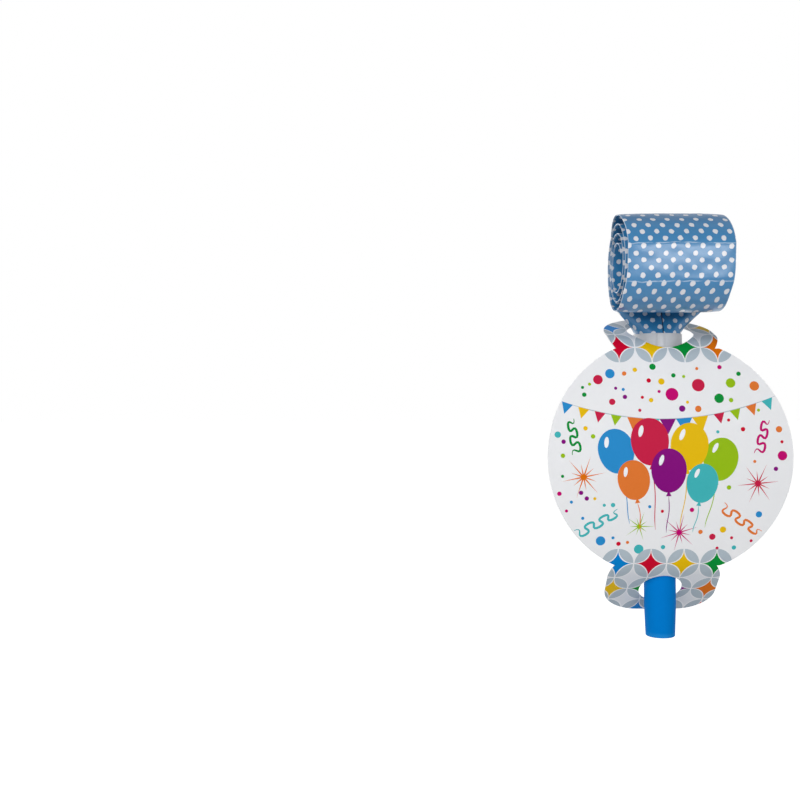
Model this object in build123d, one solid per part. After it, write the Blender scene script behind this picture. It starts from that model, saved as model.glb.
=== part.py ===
from build123d import *
import os
from math import cos, degrees, hypot, radians, sin

# A party horn blower, in millimetres. Z runs up the blowing tube from the centre of the mouth end at
# the origin, the printed card and the paper roll are on the -Y side, and +X is to the right.

# ---- blowing tube -------------------------------------------------------------------------------
TUBE_R = 5.0            # outside of the plain tube
MOUTH_R = 4.65          # outside at the mouth end, drawn in for the lips
MOUTH_TAPER = 9.0       # length of the drawn-in end
MOUTH_BORE_R = 4.1      # inside of the mouth end, which also takes a display peg
MOUTH_BORE_L = 24.0
BORE_R = 3.9            # inside of the tube above the mouth end's step
LIP_BEVEL = 0.3         # bevel of the mouth's outer edge
SHOULDER_Z = 72.0       # where the tube starts to widen into its head
SHOULDER_H = 5.0
HEAD_R = 7.0            # outside of the head that carries the paper
HEAD_WALL = 0.9
HEAD_TOP = 96.2

# ---- reed, inside the blowing tube --------------------------------------------------------------
REED_Z = 26.0           # lower face of the reed's plug
REED_FIT = 0.05         # between the plug and the bore
PLUG_H = 6.0
TROUGH_L = 19.0         # length of the half-round trough above the plug
TROUGH_R = 2.9
TROUGH_WALL = 0.6
TONGUE_W = 4.6
TONGUE_T = 0.15
TONGUE_LIFT = 0.1       # the tongue rests this far off the trough's rim
TONGUE_OVERHANG = 1.0   # how far the tongue is held below the plug's top
CLIP_H = 1.4
CLIP_WALL = 0.5
CLIP_FIT = 0.05

# ---- paper tube ---------------------------------------------------------------------------------
PAPER = 0.2             # wall of the paper
ROLL_HALF_W = 15.85     # half the width of the flattened tube
FLAT_T = 0.9            # thickness of the flattened tube
GLUE = 0.05             # glue line between the head, the paper and the collar
COLLAR_T = 0.3          # white paper band that binds the tube to the head
COLLAR_BASE = 86.0
COLLAR_TOP = 96.9
SKIRT_BASE = 88.0       # lower edge of the tube's round end, under the collar
FLARE_H = 10.6          # from the collar's edge up to the flattened tube
FLARE_STEPS = 5
FLARE_SIDES = 20        # facets round the flare
RISE_H = 9.5            # straight flattened tube between the flare and the coil

# ---- coil ---------------------------------------------------------------------------------------
COIL_R = 15.4           # radius of the middle of the paper tube in the outermost turn
LINK_ANGLE = 45.0
LINKS = 27
PLAIN_LINKS = 2         # lengths that keep the outer radius before the coil tightens
TIGHTEN = 0.36          # each further length is this much tighter
LINK_GAP = 0.1          # between one length and the next
TIP_FOLD = 1.6          # glued fold that closes the last length

# ---- recoil spring, inside the paper tube -------------------------------------------------------
SPRING_W = 1.6
SPRING_T = 0.15
SPRING_START = 1.5      # above the end of the flare
SPRING_END_ROOM = 1.0   # left before the tip fold

# ---- printed card -------------------------------------------------------------------------------
CARD_R = 38.1
CARD_T = 0.4
CARD_FRONT = 13.0       # from the tube's axis to the card's face at its middle
CREASE_TOP_Z = 92.0
CREASE_LOW_Z = 23.8
CREASE_TOP_Y = -8.7     # the card bows back towards its creases
CREASE_LOW_Y = -9.3
LEAN_TOP = 65.0         # each tab's lean from upright
LEAN_LOW = 52.0
TAB_R = 18.1
TAB_CENTRE = 9.0        # from the crease to the middle of the tab's round outline
HOLE_TOP_R = 10.5
HOLE_LOW_R = 6.9
CARD_CLEAR = 0.3        # between a hole's front edge and what passes through it
CARD_RISE = 2.0         # how far the card slides up and down from where it is worn
CARD_DROP = 12.0

SKIRT_IN_R = HEAD_R + GLUE
SKIRT_R = SKIRT_IN_R + PAPER
COLLAR_IN_R = SKIRT_R + GLUE
COLLAR_R = COLLAR_IN_R + COLLAR_T
FLAT_Z = COLLAR_TOP + FLARE_H
COIL_Z = FLAT_Z + RISE_H


def turned(points):
    """Solid of revolution about Z from (radius, height) points."""
    outline = Polyline([(r, 0, z) for r, z in points], close=True)
    return revolve(make_face(outline), Axis.Z)


def ring(outer, inner, base, height):
    """A plain tube standing on the height base."""
    tube = Cylinder(outer, height, align=(Align.CENTER, Align.CENTER, Align.MIN))
    bore = Cylinder(inner, height, align=(Align.CENTER, Align.CENTER, Align.MIN))
    return Pos(0, 0, base) * (tube - bore)


# ---- blowing tube: mouth end, plain tube, shoulder and head in one moulding ---------------------
def make_blowing_tube():
    head_bore = HEAD_R - HEAD_WALL
    shoulder_top = SHOULDER_Z + SHOULDER_H
    body = turned([
        (MOUTH_R, 0),
        (TUBE_R, MOUTH_TAPER),
        (TUBE_R, SHOULDER_Z),
        (HEAD_R, shoulder_top),
        (HEAD_R, HEAD_TOP),
        (head_bore, HEAD_TOP),
        (head_bore, shoulder_top),
        (BORE_R, SHOULDER_Z),
        (BORE_R, MOUTH_BORE_L),
        (MOUTH_BORE_R, MOUTH_BORE_L),
        (MOUTH_BORE_R, 0),
    ])
    mouth_edges = body.edges().filter_by(GeomType.CIRCLE).group_by(Axis.Z)[0]
    outer_edge = mouth_edges.sort_by(SortBy.RADIUS)[-1]
    return chamfer(outer_edge, min(LIP_BEVEL, 0.7 * (MOUTH_R - MOUTH_BORE_R)))


# ---- reed: a bored plug that carries a half-round trough, a thin tongue over it, and a clip -----
# The trough opens towards -Y. The tongue covers it, and air that passes under the tongue makes the
# sound, so the trough is closed at its far end and the plug is bored through into it.
TROUGH_BASE = REED_Z + PLUG_H
SEAT_Y = -TONGUE_LIFT   # the tongue's lower face, off the trough's rim at Y = 0


def make_reed_body():
    low = (Align.CENTER, Align.CENTER, Align.MIN)
    plug = Pos(0, 0, REED_Z) * Cylinder(BORE_R - REED_FIT, PLUG_H, align=low)
    back_half = Pos(0, TROUGH_R, TROUGH_BASE) * Box(
        2 * TROUGH_R, 2 * TROUGH_R, TROUGH_L, align=low
    )
    trough = Pos(0, 0, TROUGH_BASE) * Cylinder(TROUGH_R, TROUGH_L, align=low) & back_half
    channel_r = TROUGH_R - TROUGH_WALL
    channel = Pos(0, 0, REED_Z) * Cylinder(
        channel_r, PLUG_H + TROUGH_L - TROUGH_WALL, align=low
    )
    channel_half = Pos(0, TROUGH_R, REED_Z) * Box(
        2 * TROUGH_R, 2 * TROUGH_R, PLUG_H + TROUGH_L, align=low
    )
    # a pocket in the plug's top lets the tongue's root lie on the same level as the rim
    pocket_h = TONGUE_OVERHANG + TONGUE_LIFT
    pocket = Pos(0, 0, TROUGH_BASE - pocket_h) * Box(
        2 * BORE_R, 2 * BORE_R, pocket_h, align=(Align.CENTER, Align.MAX, Align.MIN)
    )
    return plug + trough - (channel & channel_half) - pocket


def make_reed_tongue():
    return Pos(0, SEAT_Y, TROUGH_BASE - TONGUE_OVERHANG) * Box(
        TONGUE_W,
        TONGUE_T,
        TONGUE_OVERHANG + TROUGH_L,
        align=(Align.CENTER, Align.MAX, Align.MIN),
    )


def make_reed_clip():
    """A band round the trough's foot, with a cross bar that presses the tongue's root down."""
    low = (Align.CENTER, Align.CENTER, Align.MIN)
    inner = TROUGH_R + CLIP_FIT
    base = TROUGH_BASE + CLIP_FIT
    press_y = SEAT_Y - TONGUE_T - CLIP_FIT
    bar = Pos(0, press_y, base) * Box(
        2 * inner, CLIP_WALL, CLIP_H, align=(Align.CENTER, Align.MAX, Align.MIN)
    )
    within = Pos(0, 0, base) * Cylinder(inner + CLIP_WALL / 2, CLIP_H, align=low)
    return ring(inner + CLIP_WALL, inner, base, CLIP_H) + (bar & within)


# ---- paper tube: round skirt on the head, flare, flattened rise and the start of the coil -------
def flare_section(share, inset):
    """Corners of the tube's section at a share of the flare: round at 0, flattened at 1."""
    ease = share * share * (3 - 2 * share)
    half_w = SKIRT_R + (ROLL_HALF_W - SKIRT_R) * share - inset
    half_t = SKIRT_R + (FLAT_T / 2 - SKIRT_R) * (0.35 * share + 0.65 * ease) - inset
    quarter = FLARE_SIDES // 4
    corner = []
    for place in range(1, quarter):
        turn = radians(90 * place / quarter)
        flat_x = (quarter - place) / (quarter - 1)
        x = cos(turn) + (flat_x - cos(turn)) * share
        y = sin(turn) + (1 - sin(turn)) * share
        corner.append((half_w * x, half_t * y))
    left = [(-x, y) for x, y in reversed(corner)]
    front = [(half_w, 0), *corner, (0, half_t), *left]
    around = front + [(-x, -y) for x, y in front]
    z = COLLAR_TOP + FLARE_H * share
    return [(x, y, z) for x, y in around]


def flat_face(corners):
    return Face(Wire.make_polygon(corners, close=True))


def flare(inset):
    """The flare as a solid with flat triangular facets."""
    shares = [step / FLARE_STEPS for step in range(FLARE_STEPS + 1)]
    sections = [flare_section(share, inset) for share in shares]
    facets = [flat_face(sections[0]), flat_face(sections[-1])]
    for low, high in zip(sections, sections[1:]):
        for place in range(len(low)):
            beyond = (place + 1) % len(low)
            facets.append(flat_face([low[place], low[beyond], high[beyond]]))
            facets.append(flat_face([low[place], high[beyond], high[place]]))
    return Solid(Shell(facets))


class Length:
    """One length of the coiled tube, as an arc in the YZ plane that turns towards -Y."""

    def __init__(self, start, heading, radius, angle):
        self.start = start
        self.heading = heading
        self.radius = radius
        self.angle = angle
        toward = self.inward(heading)
        self.centre = (start[0] + radius * toward[0], start[1] + radius * toward[1])

    @staticmethod
    def inward(heading):
        return (-cos(radians(heading)), -sin(radians(heading)))

    def point(self, heading, offset=0.0):
        """The point of the arc at a heading, offset outwards from the tube's middle."""
        toward = self.inward(heading)
        reach = self.radius + offset
        return (self.centre[0] - reach * toward[0], self.centre[1] - reach * toward[1])

    def end(self):
        return self.point(self.heading + self.angle)

    def pivot(self):
        """Where this length folds on the one before: the outer skin at their joint."""
        return self.point(self.heading, FLAT_T / 2)

    def arc(self, offset, first, last):
        middle = (first + last) / 2
        places = [self.point(heading, offset) for heading in (first, middle, last)]
        return ThreePointArc(*[(0, y, z) for y, z in places])

    def band(self, half_t, half_w, first_trim, last_trim):
        """The arc as a solid strip, trimmed at its ends by lengths along the tube."""
        first = self.heading + degrees(first_trim / self.radius)
        last = self.heading + self.angle - degrees(last_trim / self.radius)
        outer = self.arc(half_t, first, last)
        inner = self.arc(-half_t, last, first)
        sides = [outer, Line(outer @ 1, inner @ 0), inner, Line(inner @ 1, outer @ 0)]
        return extrude(make_face(Wire(sides)), half_w, dir=(1, 0, 0), both=True)


# the fixed first bend is half a length, so the tube comes out straight when every length is opened
root_bend = Length((0, COIL_Z), 0, COIL_R, LINK_ANGLE / 2)
lengths = []
for number in range(LINKS):
    before = lengths[-1] if lengths else root_bend
    radius = COIL_R - TIGHTEN * max(0, number + 1 - PLAIN_LINKS)
    lengths.append(Length(before.end(), before.heading + before.angle, radius, LINK_ANGLE))


def paper_length(length, first_trim, last_trim, end_wall=0.0):
    """A hollow flattened length, open at both ends unless an end wall closes its far end."""
    shell = length.band(FLAT_T / 2, ROLL_HALF_W, first_trim, last_trim)
    past = 0.2 * length.radius * radians(length.angle)
    far = last_trim + end_wall if end_wall else last_trim - past
    hollow = length.band(FLAT_T / 2 - PAPER, ROLL_HALF_W - PAPER, first_trim - past, far)
    return shell - hollow


def make_paper_neck():
    skirt = ring(SKIRT_R, SKIRT_IN_R, SKIRT_BASE, COLLAR_TOP - SKIRT_BASE)
    cone = flare(0) - flare(PAPER)
    low = (Align.CENTER, Align.CENTER, Align.MIN)
    rise = Pos(0, 0, FLAT_Z) * (
        Box(2 * ROLL_HALF_W, FLAT_T, RISE_H, align=low)
        - Box(2 * (ROLL_HALF_W - PAPER), FLAT_T - 2 * PAPER, RISE_H, align=low)
    )
    bend = paper_length(root_bend, 0, LINK_GAP / 2)
    return skirt + cone + rise + bend


def make_coil_length(number):
    end_wall = TIP_FOLD if number == LINKS - 1 else 0.0
    return paper_length(lengths[number], LINK_GAP / 2, LINK_GAP / 2, end_wall)


# ---- recoil spring: one flat strip that follows the coil inside the paper -----------------------
def make_recoil_spring():
    half = SPRING_T / 2
    last = lengths[-1]
    stop = last.heading + last.angle - degrees((TIP_FOLD + SPRING_END_ROOM) / last.radius)
    runs = [(root_bend, root_bend.heading + root_bend.angle)]
    runs += [(length, length.heading + length.angle) for length in lengths[:-1]]
    runs.append((last, stop))
    foot = FLAT_Z + SPRING_START
    outer = [Line((0, half, foot), (0, half, COIL_Z))]
    outer += [length.arc(half, length.heading, end) for length, end in runs]
    inner = [length.arc(-half, end, length.heading) for length, end in reversed(runs)]
    inner.append(Line((0, -half, COIL_Z), (0, -half, foot)))
    far = Line(outer[-1] @ 1, inner[0] @ 0)
    near = Line(inner[-1] @ 1, outer[0] @ 0)
    strip = make_face(Wire([*outer, far, *inner, near]))
    return extrude(strip, SPRING_W / 2, dir=(1, 0, 0), both=True)


# ---- printed card: a bowed disc with a holed tab folded back at each end ------------------------
def make_bowed_disc():
    middle_z = (CREASE_TOP_Z + CREASE_LOW_Z) / 2
    front = ThreePointArc(
        (0, CREASE_LOW_Y, CREASE_LOW_Z), (0, -CARD_FRONT, middle_z), (0, CREASE_TOP_Y, CREASE_TOP_Z)
    )
    centre = front.arc_center
    radius = front.radius
    shrink = (radius - CARD_T) / radius
    ends = [front @ 1, front @ 0.5, front @ 0]
    back = ThreePointArc(*[centre + (point - centre) * shrink for point in ends])
    section = make_face(Wire([front, Line(front @ 1, back @ 0), back, Line(back @ 1, front @ 0)]))
    sheet = extrude(section, CARD_R, dir=(1, 0, 0), both=True)
    # the bow shortens the round outline a little along Z
    squeeze = (CREASE_TOP_Z - CREASE_LOW_Z) / front.length
    outline = Plane.XZ * Ellipse(CARD_R, CARD_R * squeeze)
    prism = Pos(0, 0, middle_z) * extrude(outline, 4 * CARD_FRONT, both=True)
    return sheet & prism


def make_tab(crease_y, crease_z, up, lean, tube_r, hole_r):
    """A flat tab from its crease, leaning back by lean from upright, up (1) or down (-1)."""
    along = Vector(0, sin(radians(lean)), up * cos(radians(lean)))
    face_out = Vector(0, -cos(radians(lean)), up * sin(radians(lean)))
    frame = Plane(origin=(0, crease_y, crease_z), x_dir=Vector(up, 0, 0), z_dir=face_out)
    assert (frame.y_dir - along).length < 1e-6
    edge_y = -(tube_r + CARD_CLEAR + CARD_T * cos(radians(lean)))
    hole_at = (edge_y - crease_y) / sin(radians(lean)) + hole_r
    disc = Pos(0, TAB_CENTRE) * Circle(TAB_R)
    kept = Rectangle(4 * TAB_R, 4 * TAB_R, align=(Align.CENTER, Align.MIN))
    outline = (disc & kept) - Pos(0, hole_at) * Circle(hole_r)
    return extrude(frame * outline, -CARD_T)


def make_card():
    top = make_tab(CREASE_TOP_Y, CREASE_TOP_Z, 1, LEAN_TOP, COLLAR_R, HOLE_TOP_R)
    low = make_tab(CREASE_LOW_Y, CREASE_LOW_Z, -1, LEAN_LOW, TUBE_R, HOLE_LOW_R)
    return make_bowed_disc() + top + low


parts = {
    "blowing_tube": make_blowing_tube(),
    "reed_body": make_reed_body(),
    "reed_tongue": make_reed_tongue(),
    "reed_clip": make_reed_clip(),
    "paper_collar": ring(COLLAR_R, COLLAR_IN_R, COLLAR_BASE, COLLAR_TOP - COLLAR_BASE),
    "paper_neck": make_paper_neck(),
    "recoil_spring": make_recoil_spring(),
    "printed_card": make_card(),
}
for number in range(LINKS):
    parts[f"coil_length_{number + 1:02d}"] = make_coil_length(number)

os.makedirs("parts", exist_ok=True)
for name, shape in parts.items():
    shape.label = name
    export_step(shape, f"parts/{name}.step")


# ---- what the joints need: where each length folds, and how close the turns come ----------------
def least_turn_gap():
    """Least distance between the skins of two turns that are not neighbours along the tube."""
    places = [(0, (0, FLAT_Z + share * RISE_H / 8)) for share in range(9)]
    for number, length in enumerate([root_bend, *lengths]):
        for step in range(12):
            places.append((number + 1, length.point(length.heading + length.angle * step / 12)))
    distances = [
        hypot(a[0] - b[0], a[1] - b[1])
        for number_a, a in places
        for number_b, b in places
        if number_b > number_a + 3
    ]
    return min(distances) - FLAT_T


for number, length in enumerate(lengths):
    y, z = length.pivot()
    print(f"coil_length_{number + 1:02d} folds at y {y:.4f} z {z:.4f}")
print(f"least gap between turns {least_turn_gap():.2f}")
print(f"card slides from {-CARD_DROP:.1f} to {CARD_RISE:.1f}")
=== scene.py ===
from math import asin, atan2, ceil, cos, degrees, hypot, pi, radians, sin, sqrt

import bpy
import numpy as np
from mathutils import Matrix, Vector
from mathutils.geometry import delaunay_2d_cdt


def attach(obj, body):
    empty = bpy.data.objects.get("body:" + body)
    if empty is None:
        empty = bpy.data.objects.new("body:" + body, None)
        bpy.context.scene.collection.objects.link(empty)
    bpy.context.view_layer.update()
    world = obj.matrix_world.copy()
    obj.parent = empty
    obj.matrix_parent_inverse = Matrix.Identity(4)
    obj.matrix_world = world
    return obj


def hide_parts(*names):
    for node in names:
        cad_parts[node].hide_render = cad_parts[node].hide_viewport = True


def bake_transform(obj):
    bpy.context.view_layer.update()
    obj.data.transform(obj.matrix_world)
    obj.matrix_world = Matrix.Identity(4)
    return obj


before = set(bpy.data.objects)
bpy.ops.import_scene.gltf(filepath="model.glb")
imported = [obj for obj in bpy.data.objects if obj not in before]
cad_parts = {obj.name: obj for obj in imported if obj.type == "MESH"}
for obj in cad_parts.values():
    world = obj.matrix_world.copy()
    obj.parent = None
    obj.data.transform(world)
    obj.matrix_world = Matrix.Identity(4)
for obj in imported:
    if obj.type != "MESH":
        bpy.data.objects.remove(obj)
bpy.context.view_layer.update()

# The party horn is dressed here: the blowing tube, the paper tube with its coil, the collar, the
# recoil strip inside the paper, the printed card and the reed. Sizes are in millimetres, and MM
# turns them to metres.
MM = 0.001

# ---- sizes, as in the frame ---------------------------------------------------------------------
TUBE_R = 5.0
MOUTH_R = 4.65
MOUTH_TAPER = 9.0           # from here up the tube has its full width
MOUTH_BORE_R = 4.1
MOUTH_BORE_L = 24.0
BORE_R = 3.9
LIP_ROUND = 0.4
SHOULDER_Z = 72.0
SHOULDER_H = 5.0
HEAD_R = 7.0
HEAD_WALL = 0.9
HEAD_TOP = 96.2
BRIM_ROUND = 0.25

COLLAR_IN_R = 7.3
COLLAR_R = 7.6
COLLAR_BASE = 86.0
COLLAR_TOP = 96.9
COLLAR_ROUND = 0.08
COLLAR_EDGE_X = -2.0        # where the band's outer end lies, on the front
COLLAR_LAP = 20.0           # degrees over which the band overlaps itself
COLLAR_LAP_T = 0.3
COLLAR_UNEVEN = 0.012       # how far the band is out of round

SKIRT_R = 7.25
SKIRT_L = 3.0               # how far the paper reaches down under the collar's top
FLARE_H = 10.6
RISE_H = 9.5
ROLL_HALF_W = 15.85
FLAT_T = 0.9
FOLD_T = 0.22               # thickness of the paper tube at its folded edges
COIL_R = 15.4
LINK_ANGLE = 45.0
LINKS = 27
PLAIN_LINKS = 2             # the first lengths all have the coil's full radius
TIGHTEN = 0.36              # and each one after them this much less than the one before
FLAT_Z = COLLAR_TOP + FLARE_H
COIL_Z = FLAT_Z + RISE_H
LEAN_X = -0.9               # how far to the right the horn stands at the collar
# the same for the paper, at headings of the coil in degrees
SIDE_SHIFTS = ((0.0, -0.1), (90.0, -1.8), (160.0, -1.2), (190.0, -1.2), (228.0, -2.0),
               (270.0, -1.9), (360.0, -1.6))
SEAM_HALF = 0.16
SEAM_DEPTH = 0.2
SEAM_LAP = 3.2              # the lapped strip beside the seam
SEAM_LAP_T = 0.09
TIP_PINCH = 1.6             # length over which the rolled-up end closes

STRIP_W = 1.6
STRIP_T = 0.15
STRIP_START = 1.5

CARD_R = 38.1
CARD_T = 0.4
CARD_FRONT = 13.0
CREASE_TOP = (-8.7, 92.0)
CREASE_LOW = (-9.3, 23.8)
LEAN_TOP = 71.0             # how far each tab leans from upright past its soft bend
LEAN_LOW = 49.0
BEND_TOP = (-3.0, 8.0)      # where each bend starts and ends, counted out from the crease
BEND_LOW = (-5.0, 6.0)
BEND_STEP = 1.0             # the mesh has a line this often through a bend
BOARD_WARP = 0.35           # how far the board's free sides stand off its even bow
TAB_SHIFT = -0.55           # both tabs stand a little left of the disc's middle
# how far the upper and the lower one run off to the right, for each mm beyond the crease
TAB_SKEW = (0.0, 0.05)
TAB_NEAR = (10.9, 6.0)      # rounding beside the crease, and where it ends along the tab
# length from the crease, rounding of the far corners, and half width
TAB_TOP = (27.1, 16.0, 17.3)
TAB_LOW = (25.7, 11.5, 17.8)
HOLE_TOP = (10.5, 10.5)     # half its width, and half its length along the tab
HOLE_LOW = (6.8, 7.8)
CARD_CLEAR = 0.3

# ---- the photograph's camera --------------------------------------------------------------------
CAMERA_AT = (-83.8, -327.5, 75.8)
FOCAL_PX = 1017.0
FRAME_PX = 800.0
SENSOR = 36.0


def srgb(red, green, blue):
    """A colour given as it shows on screen, 0 to 255, as linear red, green, blue and alpha."""
    channels = []
    for value in (red, green, blue):
        share = value / 255
        channels.append(share / 12.92 if share <= 0.04045 else ((share + 0.055) / 1.055) ** 2.4)
    return (*channels, 1.0)


# ---- materials ----------------------------------------------------------------------------------
class Tree:
    """A short way to add nodes to a material, a node group or the world."""

    def __init__(self, tree):
        self.tree = tree

    def link(self, output, socket):
        self.tree.links.new(output, socket)

    def node(self, kind, inputs=(), **settings):
        made = self.tree.nodes.new(kind)
        for name, value in settings.items():
            setattr(made, name, value)
        for key, value in dict(inputs).items():
            if isinstance(value, bpy.types.NodeSocket):
                self.link(value, made.inputs[key])
            else:
                made.inputs[key].default_value = value
        return made

    def math(self, operation, *values):
        return self.node("ShaderNodeMath", enumerate(values), operation=operation).outputs[0]

    def vector(self, operation, *values, out="Vector"):
        made = self.node("ShaderNodeVectorMath", enumerate(values), operation=operation)
        return made.outputs[out]

    def split(self, vector):
        return self.node("ShaderNodeSeparateXYZ", {0: vector}).outputs

    def stretch(self, vector, scale):
        return self.node("ShaderNodeMapping", {"Vector": vector, "Scale": scale}).outputs[0]

    def ramp(self, value, low, high, to_low=0.0, to_high=1.0):
        """A smooth step from to_low, where the value is low, to to_high, where it is high."""
        inputs = {"Value": value, 1: low, 2: high, 3: to_low, 4: to_high}
        made = self.node("ShaderNodeMapRange", inputs, interpolation_type="SMOOTHSTEP")
        return made.outputs[0]

    def mix(self, factor, first, second):
        inputs = {0: factor, 6: first, 7: second}
        return self.node("ShaderNodeMix", inputs, data_type="RGBA").outputs[2]

    def noise(self, vector, scale, detail=3.0, distortion=0.0):
        inputs = {"Vector": vector, "Scale": scale, "Detail": detail, "Distortion": distortion}
        return self.node("ShaderNodeTexNoise", inputs).outputs["Fac"]

    def wander(self, noise, reach):
        """A noise from 0 to 1 as a distance to either side, with its reach in millimetres."""
        return self.math("MULTIPLY_ADD", noise, 2 * reach * MM, -reach * MM)

    def line(self, across, at, core, end, strength):
        """A mask along a line, in millimetres: whole out to core beside it, and gone at end."""
        away = self.math("ABSOLUTE", self.math("SUBTRACT", across, at * MM))
        return self.ramp(away, core * MM, end * MM, strength, 0.0)

    def seen(self):
        """1 for what the camera sees, also in a gloss or through something clear, and else 0."""
        path = self.node("ShaderNodeLightPath").outputs
        seen = self.math("MAXIMUM", path["Is Camera Ray"], path["Is Glossy Ray"])
        return self.math("MAXIMUM", seen, path["Is Transmission Ray"])


def new_group(name, inputs, outputs):
    group = bpy.data.node_groups.new(name, "ShaderNodeTree")
    for socket, kind, value in inputs:
        made = group.interface.new_socket(socket, in_out="INPUT", socket_type=kind)
        if value is not None:
            made.default_value = value
    for socket, kind in outputs:
        group.interface.new_socket(socket, in_out="OUTPUT", socket_type=kind)
    tree = Tree(group)
    return group, tree, tree.node("NodeGroupInput").outputs, tree.node("NodeGroupOutput").inputs


GRAIN_SHARE = 0.4           # the rest of a tone is cloud


def make_surface_group():
    """Fine unevenness that every finish here has: a tone from 0 to 1, and a height for a bump."""
    group, tree, given, out = new_group(
        "fine_surface",
        [("Vector", "NodeSocketVector", None), ("Grain", "NodeSocketFloat", 900.0),
         ("Cloud", "NodeSocketFloat", 60.0)],
        [("Tone", "NodeSocketFloat"), ("Height", "NodeSocketFloat")],
    )
    grain = tree.noise(given["Vector"], given["Grain"], detail=4.0)
    cloud = tree.noise(given["Vector"], given["Cloud"], detail=2.0)
    cloudy = tree.math("MULTIPLY", cloud, 1 - GRAIN_SHARE)
    tree.link(tree.math("MULTIPLY_ADD", grain, GRAIN_SHARE, cloudy), out["Tone"])
    tree.link(grain, out["Height"])
    return group


DOT_PITCH_X = 4.3           # across the paper, between dots of one row
DOT_PITCH_Y = 4.26          # along the paper, between every other row
DOT_R = 0.74
DOT_DRIFT = 0.07            # how far a dot can lie out of place, as a share of the pitch
DOT_RAGGED = 0.25           # how far its edge wanders in and out
DOT_EDGE = (-0.07, 0.09)    # where its edge starts and ends to fade, beside its radius


def make_dots_group():
    """Small staggered dots, each a little out of place and out of round, on a map in metres.
    Shorten divides a dot's length along the paper."""
    group, tree, given, out = new_group(
        "printed_dots",
        [("Vector", "NodeSocketVector", None), ("Radius", "NodeSocketFloat", DOT_R * MM),
         ("Shorten", "NodeSocketFloat", 1.0)],
        [("Mask", "NodeSocketFloat")],
    )
    edge = tree.wander(tree.noise(given["Vector"], 1100.0, detail=2.0), DOT_RAGGED)
    tall = tree.math("MULTIPLY", given["Shorten"], DOT_PITCH_Y * MM)
    pitch = tree.node("ShaderNodeCombineXYZ", {"X": DOT_PITCH_X * MM, "Y": tall}).outputs[0]
    drift = (DOT_DRIFT, DOT_DRIFT, 0.0)
    least = (0.5 - DOT_DRIFT / 2, 0.5 - DOT_DRIFT / 2, 0.0)
    nearest = None
    for stagger in (0.0, 0.5):
        place = tree.node(
            "ShaderNodeMapping",
            {"Vector": given["Vector"], "Location": (stagger, stagger, 0.0),
             "Scale": (1 / (DOT_PITCH_X * MM), 1 / (DOT_PITCH_Y * MM), 1.0)},
        ).outputs[0]
        chance = tree.node(
            "ShaderNodeTexWhiteNoise", {"Vector": tree.vector("FLOOR", place)},
            noise_dimensions="3D",
        ).outputs["Color"]
        centre = tree.vector("MULTIPLY_ADD", chance, drift, least)
        away = tree.vector("SUBTRACT", tree.vector("FRACTION", place), centre)
        length = tree.vector("LENGTH", tree.vector("MULTIPLY", away, pitch), out="Value")
        nearest = length if nearest is None else tree.math("MINIMUM", nearest, length)
    reach = tree.math("SUBTRACT", tree.math("ADD", nearest, edge), given["Radius"])
    tree.link(tree.ramp(reach, DOT_EDGE[0] * MM, DOT_EDGE[1] * MM, 1.0, 0.0), out["Mask"])
    return group


FINE = make_surface_group()
DOTS = make_dots_group()


def new_material(name, roughness, specular=0.5, coat=0.0, coat_roughness=0.1):
    material = bpy.data.materials.new(name)
    material.use_nodes = True
    shader = material.node_tree.nodes["Principled BSDF"]
    shader.inputs["Roughness"].default_value = roughness
    shader.inputs["Specular IOR Level"].default_value = specular
    shader.inputs["Coat Weight"].default_value = coat
    shader.inputs["Coat Roughness"].default_value = coat_roughness
    return material, Tree(material.node_tree), shader


def object_place(tree):
    return tree.node("ShaderNodeTexCoord").outputs["Object"]


def uv_place(tree):
    return tree.node("ShaderNodeUVMap", uv_map="UVMap").outputs[0]


def fine_surface(tree, place, grain, cloud):
    inputs = {"Vector": place, "Grain": grain, "Cloud": cloud}
    made = tree.node("ShaderNodeGroup", inputs, node_tree=FINE)
    return made.outputs["Tone"], made.outputs["Height"]


TONE_SPAN = (0.2, 0.8)      # nearly all of a tone lies between these


def finish(tree, shader, colour, tone, rough, height, strength, distance):
    """Joins a finish to its shader. rough is the least and the most roughness that the tone gives,
    and distance how deep the bump goes in millimetres."""
    tree.link(colour, shader.inputs["Base Color"])
    tree.link(tree.ramp(tone, *TONE_SPAN, *rough), shader.inputs["Roughness"])
    inputs = {"Strength": strength, "Distance": distance * MM, "Height": height}
    tree.link(tree.node("ShaderNodeBump", inputs).outputs[0], shader.inputs["Normal"])


def plain_finish(name, dark, light, roughness, grain, cloud, bump, **gloss):
    """A finish of one colour with its own fine tone, roughness and grain."""
    material, tree, shader = new_material(name, roughness, **gloss)
    tone, height = fine_surface(tree, object_place(tree), grain, cloud)
    colour = tree.mix(tone, srgb(*dark), srgb(*light))
    rough = (roughness - 0.05, roughness + 0.05)
    finish(tree, shader, colour, tone, rough, height, 0.5, bump)
    return material


LIP_HIGHLIGHT = (0.8, 1.9)       # painted highlight: up from the mouth end, where the lip's paler colour starts and ends to fade


def make_blue_plastic():
    material, tree, shader = new_material("blue_tube_plastic", 0.5, 0.02)
    place = object_place(tree)
    tone, height = fine_surface(tree, place, 1400.0, 45.0)
    colour = tree.mix(tone, srgb(0, 119, 204), srgb(0, 129, 214))
    # a painted highlight makes the mouth end's rounded lip a little paler
    lip_highlight = tree.ramp(tree.split(place)["Z"], LIP_HIGHLIGHT[0] * MM, LIP_HIGHLIGHT[1] * MM, 0.25, 0.0)
    colour = tree.mix(lip_highlight, colour, srgb(60, 160, 225))
    finish(tree, shader, colour, tone, (0.42, 0.55), height, 0.25, 0.02)
    return material


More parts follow.
